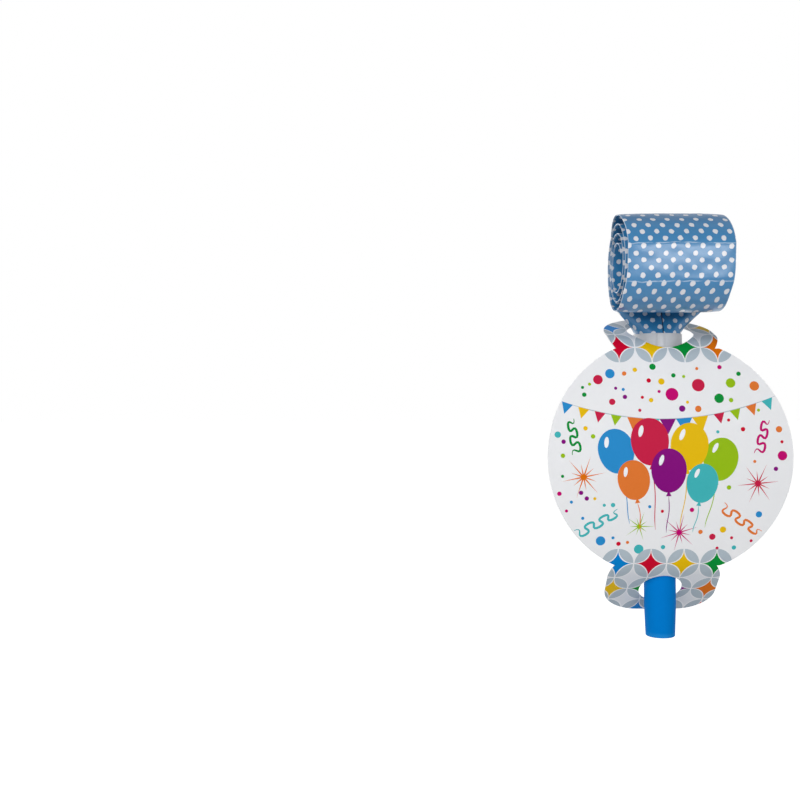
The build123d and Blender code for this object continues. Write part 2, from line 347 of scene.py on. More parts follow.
PAPER_COAT = 0.95
TOP_FADE = (50.0, 80.0, 118.0, 142.0)   # headings where the coil's top fades in and out
TOP_PAINTED_SHADE = 0.5               # how much painted shade darkens the coil's top towards a deeper blue
TOP_DULL = 0.65             # how much less coat it has
TOP_SHORT = 0.5             # how much is added to the number that divides a dot's length
CREASE_WANDER = 0.8         # how far the painted highlight line of a crease wanders to either side
WRINKLE_ACROSS = 0.22       # wrinkles are finer along the paper than across it, in this proportion


def make_dotted_paper(creases, top):
    """Glossy blue paper with pale dots. U runs round the flattened tube from the middle of the side
    that lies inside the coil, and V runs along it. creases are the V of its folds, each drawn with
    a painted highlight line, and top is where the coil's top fades in and out, which has painted
    shade, less gloss and shorter dots."""
    material, tree, shader = new_material("dotted_paper", 0.4, 0.1, PAPER_COAT, 0.26)
    place = uv_place(tree)
    split = tree.split(place)
    across, along = split["X"], split["Y"]
    on_top = tree.math("MULTIPLY", tree.ramp(along, top[0] * MM, top[1] * MM),
                       tree.ramp(along, top[2] * MM, top[3] * MM, 1.0, 0.0))
    coat = tree.math("MULTIPLY_ADD", on_top, -TOP_DULL, PAPER_COAT)
    tree.link(coat, shader.inputs["Coat Weight"])
    shorten = tree.math("MULTIPLY_ADD", on_top, TOP_SHORT, 1.0)
    dots = tree.node("ShaderNodeGroup", {"Vector": place, "Shorten": shorten}, node_tree=DOTS)
    tone, height = fine_surface(tree, place, 1500.0, 110.0)
    blue = tree.mix(tone, srgb(36, 114, 166), srgb(56, 130, 181))
    # painted shade: the coil's top is darkened towards a deeper blue
    blue = tree.mix(tree.math("MULTIPLY", on_top, TOP_PAINTED_SHADE), blue, srgb(8, 90, 140))
    pale = tree.mix(tone, srgb(205, 207, 214), srgb(226, 227, 231))
    colour = tree.mix(dots.outputs["Mask"], blue, pale)
    # painted highlight: a pale line along each long crease of the coil
    wandering = tree.math("ADD", along, tree.wander(tree.noise(place, 160.0), CREASE_WANDER))
    broken = tree.ramp(tree.noise(place, 260.0), 0.34, 0.56)
    for crease in creases:
        pale_line = tree.math("MULTIPLY", tree.line(wandering, crease, 0.05, 0.22, 0.7), broken)
        colour = tree.mix(pale_line, colour, srgb(186, 206, 226))
    # a thin pale line where the sheet is folded sharply at the tube's two edges
    for fold in (ROLL_HALF_W, 3 * ROLL_HALF_W):
        pale_line = tree.math("MULTIPLY", tree.line(across, fold, 0.08, 0.24, 0.75), tone)
        colour = tree.mix(pale_line, colour, srgb(222, 230, 238))
    # the lapped seam shows as a dark line
    for seam in (0.0, 4 * ROLL_HALF_W):
        seam_line = tree.line(across, seam, 0.12, 0.3, 0.85)
        colour = tree.mix(seam_line, colour, srgb(12, 30, 62))
    # fine wrinkles run across the paper
    drawn_out = tree.stretch(place, (WRINKLE_ACROSS, 1.0, 1.0))
    wrinkle = tree.noise(drawn_out, 620.0, distortion=0.6)
    crumple = tree.noise(drawn_out, 150.0, detail=2.0)
    height = tree.math("MULTIPLY_ADD", crumple, 0.9, height)
    height = tree.math("MULTIPLY_ADD", wrinkle, 0.5, height)
    finish(tree, shader, colour, tone, (0.3, 0.42), height, 0.5, 0.13)
    return material


def make_steel():
    material, tree, shader = new_material("strip_steel", 0.3)
    shader.inputs["Metallic"].default_value = 1.0
    brushed = tree.stretch(uv_place(tree), (1.0, 0.03, 1.0))
    tone, height = fine_surface(tree, brushed, 9000.0, 900.0)
    colour = tree.mix(tone, srgb(150, 152, 156), srgb(196, 198, 202))
    finish(tree, shader, colour, tone, (0.24, 0.38), height, 0.3, 0.01)
    return material


INKS = {
    "crimson": (200, 30, 70), "sky": (40, 140, 205), "orange": (226, 120, 50),
    "lime": (150, 190, 20), "yellow": (232, 188, 10), "turquoise": (65, 180, 185),
    "azure": (0, 130, 208), "amber": (222, 112, 8), "magenta": (195, 0, 110),
    "plum": (132, 10, 124), "red": (204, 6, 44), "green": (6, 142, 56),
    "petal": (176, 189, 199), "pale_star": (226, 229, 234), "shine": (244, 246, 250),
}
INK_TONE = 5                # an ink's colour goes this far up and down, out of 255


def make_ink(name, colour):
    dark = [max(0, value - INK_TONE) for value in colour]
    light = [min(255, value + INK_TONE) for value in colour]
    return plain_finish(f"ink_{name}", dark, light, 0.42, 1300.0, 60.0, 0.01, specular=0.04)


blue_plastic = make_blue_plastic()
# painted shade: the white paper band is greyed for the roll's shadow over it
collar_paper = plain_finish(
    "collar_paper", (186, 189, 194), (208, 210, 214), 0.5, 1800.0, 120.0, 0.04, coat=0.1
)
board_white = plain_finish(
    "board_face", (232, 233, 236), (241, 242, 244), 0.42, 1300.0, 30.0, 0.01, specular=0.15
)
board_back = plain_finish(
    "board_back", (206, 206, 204), (226, 226, 224), 0.72, 1500.0, 220.0, 0.03
)
board_edge = plain_finish(
    "board_edge", (205, 206, 208), (238, 238, 238), 0.8, 2600.0, 400.0, 0.04
)
inks = {name: make_ink(name, colour) for name, colour in INKS.items()}
reed_plastic = plain_finish(
    "reed_plastic", (220, 221, 218), (236, 236, 232), 0.45, 1200.0, 90.0, 0.02
)
tongue_film = plain_finish(
    "tongue_film", (228, 230, 232), (240, 242, 244), 0.25, 1600.0, 90.0, 0.01
)
strip_steel = make_steel()


# ---- meshes -------------------------------------------------------------------------------------
def add_object(name, data):
    made = bpy.data.objects.new(name, data)
    bpy.context.scene.collection.objects.link(made)
    return made


def make_piece(name, points, faces, materials, body, replaced=(), corner_uv=None,
               face_slots=None, *, sharp):
    """A mesh from points in millimetres, with its finish, what it rides on and what it stands for.
    sharp is the angle in degrees from which an edge is left sharp."""
    mesh = bpy.data.meshes.new(name)
    mesh.from_pydata([Vector(point) * MM for point in points], [], faces)
    for material in materials:
        mesh.materials.append(material)
    if face_slots is not None:
        mesh.polygons.foreach_set("material_index", face_slots)
    if corner_uv is not None:
        layer = mesh.uv_layers.new(name="UVMap")
        layer.data.foreach_set("uv", np.array(corner_uv, float).ravel() * MM)
    mesh.polygons.foreach_set("use_smooth", [True] * len(mesh.polygons))
    mesh.set_sharp_from_angle(angle=radians(sharp))
    mesh.validate()
    mesh.update()
    piece = add_object(name, mesh)
    if body:
        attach(piece, body)
    if replaced:
        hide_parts(*replaced)
    return piece


def smooth(share):
    """Eases a share from 0 to 1 at both ends."""
    return share * share * (3 - 2 * share)


def arc_points(cx, cy, radius, start, end, steps):
    """Points of an arc about a centre, from one angle to another in degrees."""
    turns = [radians(start + (end - start) * step / steps) for step in range(steps + 1)]
    return [(cx + radius * cos(turn), cy + radius * sin(turn)) for turn in turns]


def ellipse(cx, cy, half_x, half_y, sides):
    turns = [2 * pi * side / sides for side in range(sides)]
    return [(cx + half_x * cos(turn), cy + half_y * sin(turn)) for turn in turns]


def turned(points, turn, x=0.0, y=0.0):
    """Points turned about the origin, which then moves to x, y."""
    return [(x + px * cos(turn) - py * sin(turn), y + px * sin(turn) + py * cos(turn))
            for px, py in points]


def lathe(profile, segments, radius_at=None):
    """Points and faces of a closed (radius, height) outline turned about the horn's leaning axis,
    outwards on the right of its path going up. radius_at can change a radius by its angle."""
    count = len(profile)
    points = []
    faces = []
    for step in range(segments):
        angle = 2 * pi * step / segments
        after = (step + 1) % segments
        for place, (radius, height) in enumerate(profile):
            reach = radius_at(radius, angle) if radius_at else radius
            lean = LEAN_X * height / COLLAR_TOP
            points.append((reach * cos(angle) + lean, reach * sin(angle), height))
            beyond = (place + 1) % count
            faces.append((step * count + place, after * count + place,
                          after * count + beyond, step * count + beyond))
    return points, faces


# ---- blowing tube -------------------------------------------------------------------------------
def make_blowing_tube():
    head_bore = HEAD_R - HEAD_WALL
    shoulder_top = SHOULDER_Z + SHOULDER_H
    brim = HEAD_TOP - BRIM_ROUND
    profile = [
        # up the outside
        *arc_points(MOUTH_R - LIP_ROUND, LIP_ROUND, LIP_ROUND, -90, 0, 4),
        (TUBE_R - 0.14, MOUTH_TAPER - 3.0), (TUBE_R - 0.02, MOUTH_TAPER),
        (TUBE_R, MOUTH_TAPER + 2.0), (TUBE_R, 30.0), (TUBE_R, 50.0), (TUBE_R, SHOULDER_Z - 0.6),
        (TUBE_R + 0.12, SHOULDER_Z + 0.4), (HEAD_R - 0.12, shoulder_top - 0.4),
        (HEAD_R, shoulder_top + 0.6), (HEAD_R, COLLAR_BASE),
        # over the brim and down the bore
        *arc_points(HEAD_R - BRIM_ROUND, brim, BRIM_ROUND, 0, 90, 3),
        *arc_points(head_bore + BRIM_ROUND, brim, BRIM_ROUND, 90, 180, 3),
        (head_bore, shoulder_top), (BORE_R, SHOULDER_Z), (BORE_R, MOUTH_BORE_L),
        (MOUTH_BORE_R, MOUTH_BORE_L), (MOUTH_BORE_R, 0.1), (MOUTH_BORE_R + 0.06, 0.0),
    ]
    points, faces = lathe(profile, 96)
    make_piece("tube_moulding", points, faces, [blue_plastic], "horn",
               ["blowing_tube"], sharp=50)


# ---- collar -------------------------------------------------------------------------------------
def make_collar():
    """A paper band whose outer end laps over its start, with the cut end showing on the front."""
    edge = atan2(-sqrt(COLLAR_R ** 2 - COLLAR_EDGE_X ** 2), COLLAR_EDGE_X)
    lap = radians(COLLAR_LAP)

    def band_radius(radius, angle):
        if radius <= COLLAR_IN_R:
            return radius
        past = (angle - edge) % (2 * pi)
        lift = COLLAR_LAP_T * max(0.0, 1 - past / lap)
        uneven = COLLAR_UNEVEN * sin(3 * angle + 1.0)
        return radius + lift * (2 - lift / COLLAR_LAP_T) + uneven

    low, high = COLLAR_BASE, COLLAR_TOP
    profile = [
        (COLLAR_IN_R, low), (COLLAR_R - COLLAR_ROUND, low), (COLLAR_R, low + COLLAR_ROUND),
        (COLLAR_R, 90.0), (COLLAR_R, 94.0), (COLLAR_R, high - COLLAR_ROUND),
        (COLLAR_R - COLLAR_ROUND, high), (COLLAR_IN_R, high),
    ]
    points, faces = lathe(profile, 360, band_radius)
    make_piece("collar_band", points, faces, [collar_paper], "horn",
               ["paper_collar"], sharp=28)


# ---- paper tube ---------------------------------------------------------------------------------
def side_shift(heading):
    """How far to the right the paper stands at a heading, as it doesn't roll up quite evenly."""
    turn = degrees(heading)
    for (start, low), (end, high) in zip(SIDE_SHIFTS, SIDE_SHIFTS[1:]):
        if turn < end:
            return low + (high - low) * smooth(max(0.0, (turn - start) / (end - start)))
    return SIDE_SHIFTS[-1][1]


class Station:
    """A cut across the paper tube: where its middle lies, which way it runs, and how far along."""

    def __init__(self, y, z, heading, along, half_w=ROLL_HALF_W, half_t=FLAT_T / 2, flat=1.0,
                 shift=None, printed=None):
        self.y = y
        self.z = z
        self.heading = heading
        self.along = along
        self.half_w = half_w
        self.half_t = half_t
        self.flat = flat
        self.shift = side_shift(heading) if shift is None else shift
        self.printed = along if printed is None else printed


# the printed pattern is stretched over the roll's top and bottom
PRINT_LEAST = 0.47          # the pattern's length there, as a share of the paper's
PRINT_BACK = 0.962          # the same share where the tube first turns over
PRINT_START = 60.0          # headings between which the stretching lies,
PRINT_END = 300.0
PRINT_EASE = 30.0           # and how far from either it is whole


def print_share(heading):
    """How fast the printed pattern runs along the tube at a heading of the outer turn."""
    turn = degrees(heading)
    if turn < PRINT_START:
        return PRINT_BACK
    ends = min((turn - PRINT_START) / PRINT_EASE, (PRINT_END - turn) / PRINT_EASE)
    ends = max(0.0, min(1.0, ends))
    stretched = sin(heading) ** 2 if 90 <= turn <= 270 else ends
    return 1 - (1 - PRINT_LEAST) * min(stretched, ends)


def coil_stations(steps):
    """Stations along the coil, as one list for each stretch between the middles of two lengths."""
    y, z, heading, along = 0.0, COIL_Z, 0.0, FLARE_H + RISE_H
    printed = along
    half_turn = radians(LINK_ANGLE / 2)
    # the root's bend is one half turn, and each length has two
    halves = []
    for number in range(LINKS + 1):
        radius = COIL_R - TIGHTEN * max(0, number - PLAIN_LINKS)
        for _ in range(2 if number else 1):
            centre = (y - radius * cos(heading), z - radius * sin(heading))
            half = []
            for step in range(steps + 1):
                turn = heading + half_turn * step / steps
                if step:
                    share = print_share(turn - half_turn / steps / 2)
                    printed += radius * half_turn / steps * share
                half.append(Station(centre[0] + radius * cos(turn), centre[1] + radius * sin(turn),
                                    turn, along + radius * (turn - heading), printed=printed))
            halves.append(half)
            last = half[-1]
            y, z, heading, along = last.y, last.z, last.heading, last.along
    # a stretch joins the second half of one length to the first half of the next
    stretches = [halves[2 * number] + halves[2 * number + 1][1:] for number in range(LINKS)]
    return [*stretches, halves[-1]]


RING_SIDES = 72
FOLD_ANGLE = 0.035          # the ring has a point this far to either side of each fold, in radians
RING_GAP = 0.02             # an even point gives way to one of the seam's that is nearer than this


def section_angles():
    """Angles round the tube from the middle of its inner side, closer at the folds and the seam."""
    plain = [2 * pi * step / RING_SIDES for step in range(RING_SIDES)]
    offsets = (-SEAM_HALF * 2.4, -SEAM_HALF, SEAM_HALF, SEAM_HALF * 2.4, SEAM_LAP, SEAM_LAP + 0.25)
    seam = [asin(offset / ROLL_HALF_W) % (2 * pi) for offset in offsets]
    folds = [fold + side * FOLD_ANGLE for fold in (pi / 2, 3 * pi / 2) for side in (-1, 1)]
    clear = [angle for angle in plain if min(abs(angle - other) for other in seam) > RING_GAP]
    return sorted(clear + seam + folds)


ANGLES = section_angles()

# the sheet's long creases on the coil, as headings in degrees, and how deep each is
CREASES = ((146.0, 0.09), (162.8, 0.2), (207.0, 0.2), (246.0, 0.08), (421.0, 0.12), (476.0, 0.1))
CREASE_TURN = 2.1           # degrees to either side over which a crease sinks in
RIDGE_TURN = 4.5            # and over which the paper beside it stands out,
RIDGE_SHARE = 0.35          # by this share of the crease's depth
FACET = (162.8, 207.0)      # the roll is flattened between these two creases
FACET_DEPTH = 0.95          # by this much half-way between them


def coil_lift(heading):
    """How far the whole tube stands off its even spiral: creases, the facet and slow waves."""
    turn = degrees(heading)
    lift = 0.0
    for crease, depth in CREASES:
        lift += RIDGE_SHARE * depth * max(0.0, 1 - abs(turn - crease) / RIDGE_TURN) ** 2
    if FACET[0] < turn < FACET[1]:
        share = (turn - FACET[0]) / (FACET[1] - FACET[0])
        lift -= FACET_DEPTH * 4 * share * (1 - share)
    growth = min(1.0, max(0.0, (turn - 30) / 90))
    return lift + growth * (0.10 * sin(turn / 31 + 0.4) + 0.06 * sin(turn / 12.3 + 2.0))


def sheet_ripple(x, heading, along):
    """Small ripples of the sheet itself, across and along the tube, and its creases."""
    ripple = 0.05 * sin(x / 2.9 + along / 3.1) * sin(along / 1.9 - x / 7.3 + 0.7)
    ripple += 0.035 * sin(x / 1.3 - along / 5.7 + 1.9) * sin(along / 0.83 + 0.3 * x)
    turn = degrees(heading)
    for crease, depth in CREASES:
        bent = crease + 1.1 * sin(x / 5.3 + crease) + 0.5 * sin(x / 1.9)
        ripple -= depth * max(0.0, 1 - abs(turn - bent) / CREASE_TURN)
    return ripple


def section(station):
    """Points round one station."""
    outward = (cos(station.heading), sin(station.heading))
    in_coil = min(1.0, max(0.0, (station.along - FLARE_H) / RISE_H))
    lift = coil_lift(station.heading) * in_coil
    points = []
    for angle in ANGLES:
        side = sin(angle)
        x = station.half_w * side
        # -1 on the side that lies inside the coil, 1 on the outer one and 0 at a fold
        facing = -1.0 if cos(angle) > 1e-6 else (1.0 if cos(angle) < -1e-6 else 0.0)
        flat_t = FOLD_T / 2 + (station.half_t - FOLD_T / 2) * (1 - abs(side) ** 5)
        offset = (1 - station.flat) * -cos(angle) * station.half_t + station.flat * facing * flat_t
        reach = ROLL_HALF_W * side
        if facing < 0 and abs(reach) < SEAM_HALF * 1.2:
            offset += SEAM_DEPTH
        elif facing < 0 and SEAM_HALF <= reach < SEAM_LAP + 0.1:
            offset -= SEAM_LAP_T
        edge_free = 1 - abs(side) ** 8
        offset += facing * in_coil * edge_free * sheet_ripple(x, station.heading, station.along)
        offset += lift
        points.append((x + station.shift, station.y + offset * outward[0],
                       station.z + offset * outward[1]))
    return points


def across_sheet(points):
    """Distances across the printed sheet for the points of a station, as measured on its front and
    on its back. Where the tube is round the sheet is gathered at its folds, so the two don't meet
    there."""
    count = len(points)
    run = [0.0]
    for place in range(count):
        run.append(run[-1] + (Vector(points[(place + 1) % count]) - Vector(points[place])).length)
    middle = ANGLES.index(min(ANGLES, key=lambda angle: abs(angle - pi)))
    front = run[:middle] + [4 * ROLL_HALF_W - (run[-1] - reach) for reach in run[middle:]]
    back = [2 * ROLL_HALF_W + reach - run[middle] for reach in run]
    return front, back


def tube_mesh(stations, close_end=False):
    """Skin through stations. U is the distance across the sheet, V the distance along it."""
    count = len(ANGLES)
    points = []
    maps = []
    for station in stations:
        ring_points = section(station)
        points += ring_points
        maps.append(across_sheet(ring_points))
    faces = []
    corner_uv = []
    for row in range(len(stations) - 1):
        low_v, high_v = stations[row].printed, stations[row + 1].printed
        for place in range(count):
            beyond = (place + 1) % count
            faces.append((row * count + place, row * count + beyond,
                          (row + 1) * count + beyond, (row + 1) * count + place))
            side = 1 if pi / 2 <= ANGLES[place] < 3 * pi / 2 else 0
            low, high = maps[row][side], maps[row + 1][side]
            corner_uv += [(low[place], low_v), (low[place + 1], low_v),
                          (high[place + 1], high_v), (high[place], high_v)]
    if close_end:
        last = (len(stations) - 1) * count
        faces.append(tuple(last + place for place in range(count)))
        corner_uv += [(u, stations[-1].printed) for u in maps[-1][0][:count]]
    return points, faces, corner_uv


FLARE_STEPS = 26
RISE_STEPS = 10
WIDEN_EVENLY = 0.55         # how much of the flare's widening goes evenly, and isn't eased,
FLATTEN_EVENLY = 0.35       # and how much of its flattening


def neck_stations():
    """The round end under the collar, the flare and the straight rise to the coil."""
    stations = [Station(0.0, COLLAR_TOP - SKIRT_L + step, 0.0, step - SKIRT_L, SKIRT_R, SKIRT_R,
                        0.0, LEAN_X)
                for step in (0.0, SKIRT_L / 2, SKIRT_L)]
    for step in range(1, FLARE_STEPS + 1):
        share = step / FLARE_STEPS
        ease = smooth(share)
        widened = WIDEN_EVENLY * share + (1 - WIDEN_EVENLY) * ease
        flattened = FLATTEN_EVENLY * share + (1 - FLATTEN_EVENLY) * ease
        stations.append(Station(
            0.0, COLLAR_TOP + FLARE_H * share, 0.0, FLARE_H * share,
            half_w=SKIRT_R + (ROLL_HALF_W - SKIRT_R) * widened,
            half_t=SKIRT_R + (FLAT_T / 2 - SKIRT_R) * flattened,
            flat=ease ** 1.5, shift=LEAN_X + (side_shift(0.0) - LEAN_X) * ease,
        ))
    for step in range(1, RISE_STEPS + 1):
        rise = RISE_H * step / RISE_STEPS
        stations.append(Station(0.0, FLAT_Z + rise, 0.0, FLARE_H + rise))
    return stations


STRETCHES = coil_stations(8)


def printed_at(turns):
    """The V of the printed sheet at headings in degrees."""
    stations = [station for stretch in STRETCHES for station in stretch]
    found = np.interp(np.radians(turns), [station.heading for station in stations],
                      [station.printed for station in stations])
    return found.tolist()


dotted_paper = make_dotted_paper(printed_at(FACET), printed_at(TOP_FADE))


def body_name(number):
    return "horn" if number == 0 else f"coil_{number:02d}"


def make_paper_tube():
    points, faces, corner_uv = tube_mesh(neck_stations())
    make_piece("paper_neck_skin", points, faces, [dotted_paper], "horn",
               ["paper_neck"], corner_uv, sharp=60)
    for number, stations in enumerate(STRETCHES):
        last = number == LINKS
        if last:
            for station in stations:
                left = stations[-1].along - station.along
                pinch = min(1.0, left / TIP_PINCH)
                station.half_t = FOLD_T / 2 + (FLAT_T / 2 - FOLD_T / 2) * pinch
        points, faces, corner_uv = tube_mesh(stations, close_end=last)
        replaced = [f"coil_length_{number:02d}"] if number else []
        body = body_name(number) if last else None
        piece = make_piece(f"paper_coil_{number + 1:02d}", points, faces, [dotted_paper], body,
                           replaced, corner_uv, sharp=60)
        if not last:
            bend(piece)


def bend(piece):
    """Bakes a stretch's placement into its mesh."""
    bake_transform(piece)


# ---- recoil strip -------------------------------------------------------------------------------
def strip_mesh(stations, in_coil):
    """A flat strip along stations, with its wide sides facing in and out of the coil."""
    points = []
    for station in stations:
        outward = (cos(station.heading), sin(station.heading))
        for side, level in ((-1, -1), (1, -1), (1, 1), (-1, 1)):
            lift = level * STRIP_T / 2
            if in_coil:
                lift += coil_lift(station.heading)
            points.append((station.shift + side * STRIP_W / 2, station.y + lift * outward[0],
                           station.z + lift * outward[1]))
    faces = [(3, 2, 1, 0)]
    corner_uv = [(0.0, 0.0)] * 4
    for row in range(len(stations) - 1):
        for place in range(4):
            beyond = (place + 1) % 4
            first = row * 4
            faces.append((first + place, first + beyond, first + 4 + beyond, first + 4 + place))
            low, high = stations[row].along, stations[row + 1].along
            corner_uv += [(place * STRIP_W, low), ((place + 1) * STRIP_W, low),
                          ((place + 1) * STRIP_W, high), (place * STRIP_W, high)]
    last = (len(stations) - 1) * 4
    faces.append((last, last + 1, last + 2, last + 3))
    corner_uv += [(0.0, 0.0)] * 4
    return points, faces, corner_uv


def make_recoil_strip():
    foot = [Station(0.0, FLAT_Z + STRIP_START + step, 0.0, STRIP_START + step)
            for step in range(int(RISE_H - STRIP_START) + 1)]
    foot.append(STRETCHES[0][0])
    for number, stations in enumerate([foot, *STRETCHES[:-1], STRETCHES[-1][:-2]]):
        points, faces, corner_uv = strip_mesh(stations, in_coil=number > 0)
        # the foot and the last piece each ride on one body, and the others, which lie between two
        # lengths, on none
        whole = number in (0, LINKS + 1)
        body = body_name(max(0, number - 1)) if whole else None
        replaced = [] if number else ["recoil_spring"]
        piece = make_piece(f"recoil_strip_{number:02d}", points, faces, [strip_steel], body,
                           replaced, corner_uv, sharp=40)
        if not whole:
            bend(piece)


# ---- printed card: flat layout ------------------------------------------------------------------
def bow_circle():
    """Centre and radius of the bowed face, through both creases and the card's middle."""
    middle = (-CARD_FRONT, (CREASE_TOP[1] + CREASE_LOW[1]) / 2)
    (ax, ay), (bx, by), (cx, cy) = CREASE_LOW, middle, CREASE_TOP
    a, b, c = ax * ax + ay * ay, bx * bx + by * by, cx * cx + cy * cy
    twice = 2 * (ax * (by - cy) + bx * (cy - ay) + cx * (ay - by))
    x = (a * (by - cy) + b * (cy - ay) + c * (ay - by)) / twice
    y = (a * (cx - bx) + b * (ax - cx) + c * (bx - ax)) / twice
    return (x, y), hypot(ax - x, ay - y)


BOW_CENTRE, BOW_R = bow_circle()


def bow_angle(point):
    """Angle up from the bow's centre to a point of the face, 0 where the card is upright."""
    return asin((point[1] - BOW_CENTRE[1]) / BOW_R)


TOP_ANGLE = bow_angle(CREASE_TOP)
LOW_ANGLE = bow_angle(CREASE_LOW)
HALF_BOW = BOW_R * (TOP_ANGLE - LOW_ANGLE) / 2      # from the card's middle to either crease
MID_ANGLE = (TOP_ANGLE + LOW_ANGLE) / 2


def profile_table():
    """The card's side view: for each distance along the sheet, where it lies and how it leans."""
    step = 0.02
    reach = HALF_BOW + TAB_TOP[0] + 1
    count = int(2 * reach / step)
    along = np.linspace(-reach, reach, count + 1)

    def past_bend(distance, start, end):
        return smooth(np.clip((distance - HALF_BOW - start) / (end - start), 0, 1))

    # lean is the tilt of the sheet from upright, positive where its upper end lies back
    bowed = MID_ANGLE + np.clip(along, -HALF_BOW, HALF_BOW) / BOW_R
    top = past_bend(along, *BEND_TOP) * (radians(LEAN_TOP) - TOP_ANGLE)
    low = past_bend(-along, *BEND_LOW) * (-radians(LEAN_LOW) - LOW_ANGLE)
    lean = bowed + top + low
    front = (BOW_CENTRE[0] - BOW_R * cos(MID_ANGLE), BOW_CENTRE[1] + BOW_R * sin(MID_ANGLE))
    places = []
    for slope, start in zip((np.sin(lean), np.cos(lean)), front):
        run = np.cumsum((slope[1:] + slope[:-1]) / 2 * np.diff(along))
        run = np.concatenate([[0], run])
        places.append(run - run[count // 2] + start)
    return along, *places, lean


SIDE_VIEW = profile_table()


def on_card(flat_points, depth):
    """Flat layout points placed on the bent sheet, at a depth behind its printed face."""
    along, y, z, lean = SIDE_VIEW
    flat_x, flat_y = flat_points[:, 0], flat_points[:, 1]
    tilt = np.interp(flat_y, along, lean)
    # a very slight warp of the board's free sides, which ends before the creases
    warp = BOARD_WARP * (flat_x / CARD_R) ** 2 * np.sin(flat_y / 21 + 0.6 + 0.8 * np.sign(flat_x))
    back = depth + warp * np.clip((HALF_BOW - np.abs(flat_y)) / 12, 0, 1)
    return np.column_stack([flat_x, np.interp(flat_y, along, y) + back * np.cos(tilt),
                            np.interp(flat_y, along, z) - back * np.sin(tilt)])


def hole_place(side, through_r, half_l):
    """Flat height of the upper (1) or lower (-1) tab's hole, whose front edge just clears what it
    holds."""
    along, y, _, _ = SIDE_VIEW
    beyond = np.arange(0.0, TAB_LOW[0], 0.05)
    depth = np.interp(side * (HALF_BOW + beyond), along, y)
    edge = float(np.interp(-(through_r + CARD_CLEAR + CARD_T), depth, beyond))
    return side * (HALF_BOW + edge + half_l)


HOLE_TOP_AT = hole_place(1, COLLAR_R, HOLE_TOP[1])
HOLE_LOW_AT = hole_place(-1, TUBE_R, HOLE_LOW[1])


def tab_outline(side, length, corner, half_w):
    """A tab's edge from its crease round to the crease again, counter-clockwise, up (1) or down
    (-1)."""
    near_r, near_end = TAB_NEAR
    start = -degrees(asin(near_end / near_r))
    half = arc_points(half_w - near_r, near_end, near_r, start, 0, 8)
    half += arc_points(half_w - corner, length - corner, corner, 0, 90, 24)
    whole = half + [(-x, y) for x, y in reversed(half)]
    skew = TAB_SKEW[0 if side > 0 else 1]
    return [(TAB_SHIFT + side * x + skew * y, side * (HALF_BOW + y)) for x, y in whole]


def card_outline():
    """The die-cut outline, counter-clockwise from the lower crease's right end."""
    crease_angle = degrees(asin(HALF_BOW / CARD_R))
    right = arc_points(0, 0, CARD_R, -crease_angle, crease_angle, 72)
    left = [(-x, -y) for x, y in right]
    return right + tab_outline(1, *TAB_TOP) + left + tab_outline(-1, *TAB_LOW)


# ---- printed card: motifs -----------------------------------------------------------------------
PETAL_R = 5.14              # circles of the two borders
PETAL_GAP = 0.93
STRETCH_TOP = 1.5           # the rows stand this much further apart over each tab
STRETCH_LOW = 1.3
STAR_FILL = 0.88


def scaled(points, share):
    cx = sum(x for x, _ in points) / len(points)
    cy = sum(y for _, y in points) / len(points)
    return [(cx + (x - cx) * share, cy + (y - cy) * share) for x, y in points]


def border_cell(x, y, star_ink):
    """One circle of the overlapping-circles pattern: four petals round a four-pointed star."""
    r = PETAL_R
    outer = arc_points(0, 0, r, 0, 90, 8)
    inner = arc_points(r, r, r, 270, 180, 8)
    petal = scaled(outer[:-1] + inner[::-1][:-1], PETAL_GAP)
    quarters = [radians(90 * quarter) for quarter in range(4)]
    star = [point for turn in quarters for point in turned(inner[:-1], turn)]
    star = [(x + STAR_FILL * px, y + STAR_FILL * py) for px, py in star]
    return [*(("petal", turned(petal, turn, x, y)) for turn in quarters), (star_ink, star)]


def border(first_y, direction, stretch, offset, star_inks):
    """Rows of overlapping circles from the disc's edge out over a tab, with a list of star inks for
    each coloured row."""
    shapes = []
    for row in range(6):
        y = first_y + direction * PETAL_R * row
        for column in range(-3, 3):
            x = offset + (2 * column + row % 2) * PETAL_R
            if row == 0 and not -2 <= column <= 1:
                continue
            ink = "pale_star" if row % 2 else star_inks[row // 2][column + 3]
            shapes += border_cell(x, y, ink)

    def stretched(y):
        past = direction * (y - first_y)
        return first_y + direction * past * (stretch if past > 0 else 1)

    return [(ink, [(x, stretched(y)) for x, y in shape]) for ink, shape in shapes]


def burst(x, y, size, ink, rays=12, turn=0.0):
    """A thin-rayed burst with long and short rays."""
    points = []
    gap = pi / rays
    waist = 0.13 * size
    for ray in range(rays):
        middle = turn + 2 * pi * ray / rays
        length = 0.62 * size if ray % 2 else size
        points.append((x + length * cos(middle), y + length * sin(middle)))
        points.append((x + waist * cos(middle + gap), y + waist * sin(middle + gap)))
    return [(ink, points)]


def ribbon(path, width, ink):
    """A strip of even width, with tapered ends, along a list of points."""
    left, right = [], []
    for place, (x, y) in enumerate(path):
        before = path[max(0, place - 1)]
        after = path[min(len(path) - 1, place + 1)]
        dx, dy = after[0] - before[0], after[1] - before[1]
        length = hypot(dx, dy)
        share = place / (len(path) - 1)
        half = width / 2 * min(1.0, 0.25 + 5 * min(share, 1 - share))
        left.append((x - dy / length * half, y + dx / length * half))
        right.append((x + dy / length * half, y - dx / length * half))
    return [(ink, left + right[::-1])]


